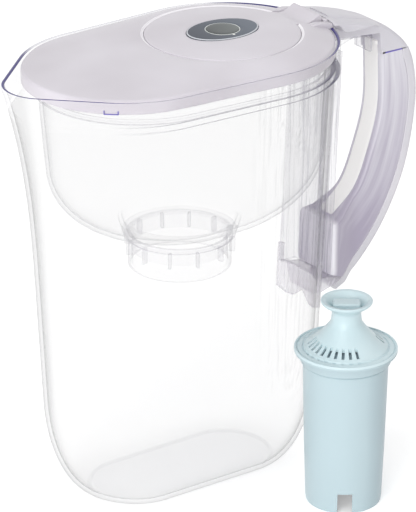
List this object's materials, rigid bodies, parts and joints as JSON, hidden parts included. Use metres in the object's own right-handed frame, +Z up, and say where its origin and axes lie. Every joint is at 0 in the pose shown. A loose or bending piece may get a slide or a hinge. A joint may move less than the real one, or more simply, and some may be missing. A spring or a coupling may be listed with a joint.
{
  "type": "water filter pitcher",
  "caption": "Clear water filter pitcher with lift-out reservoir, lid with hinged fill door and status button, side handle, and a separate filter cartridge.",
  "frame": {"origin": "middle of the jug's foot, on the surface that it stands on", "axes": "+Z up, +X towards the handle, -X towards the spout, -Y towards the side on which the cartridge stands"},
  "size_m": [0.2886, 0.1869, 0.2797],
  "materials": {
    "clear_plastic": "clear moulded plastic with a faint violet tint at its edges",
    "lavender_plastic": "translucent lavender plastic",
    "frosted_plastic": "frosted pale lavender plastic",
    "pale_liner": "soft near-white plastic",
    "lid_plastic": "satin lavender-white plastic",
    "indicator_blue_grey": "smooth dark blue-grey plastic",
    "ring_pale": "pale moulded trim",
    "button_grey": "soft grey-green button",
    "case_plastic": "plain moulded case",
    "board_green": "green circuit board",
    "switch_black": "black moulded switch",
    "light_plastic": "clear light-carrying plastic",
    "cell_steel": "bright stamped steel",
    "cartridge_plastic": "satin pale blue-green plastic",
    "screen_mesh": "fine white filter mesh",
    "filter_granules": "packed dark carbon granules"
  },
  "bodies": {
    "pitcher": {"jug": "clear_plastic", "handle_frame": "lavender_plastic", "handle_cover": "frosted_plastic", "handle_liner": "pale_liner"},
    "reservoir": {"reservoir": "clear_plastic"},
    "lid": {"lid": "lid_plastic"},
    "door": {"fill_door": "lid_plastic", "indicator_plate": "indicator_blue_grey", "button_ring": "ring_pale", "indicator_case": "case_plastic", "case_cover": "case_plastic", "circuit_board": "board_green", "tact_switch": "switch_black", "indicator_light": "light_plastic", "light_pipe": "light_plastic", "coin_cell": "cell_steel", "battery_contact": "cell_steel"},
    "button": {"status_button": "button_grey"},
    "cartridge": {"cartridge_cup": "cartridge_plastic", "cartridge_cap": "cartridge_plastic", "inlet_screen": "screen_mesh", "filter_media": "filter_granules", "outlet_screen": "screen_mesh"}
  },
  "joints": [
    {"name": "reservoir_lift", "type": "slide", "parent": "pitcher", "child": "reservoir", "axis": [0, 0, 1], "range_m": [0, 0.16]},
    {"name": "lid_lift", "type": "slide", "parent": "reservoir", "child": "lid", "axis": [0, 0, 1], "range_m": [0, 0.06]},
    {"name": "door_hinge", "type": "hinge", "parent": "lid", "child": "door", "pos_m": [0.079, 0, 0.2745], "axis": [0, 1, 0], "range_deg": [0, 60]},
    {"name": "button_press", "type": "slide", "parent": "door", "child": "button", "axis": [0, 0, -1], "range_m": [0, 0.0008], "stiffness_N_per_m": 600, "springref_m": -0.0005},
    {"name": "cartridge_lift", "type": "slide", "parent": "pitcher", "child": "cartridge", "axis": [0, 0, 1], "range_m": [0, 0.05]}
  ]
}
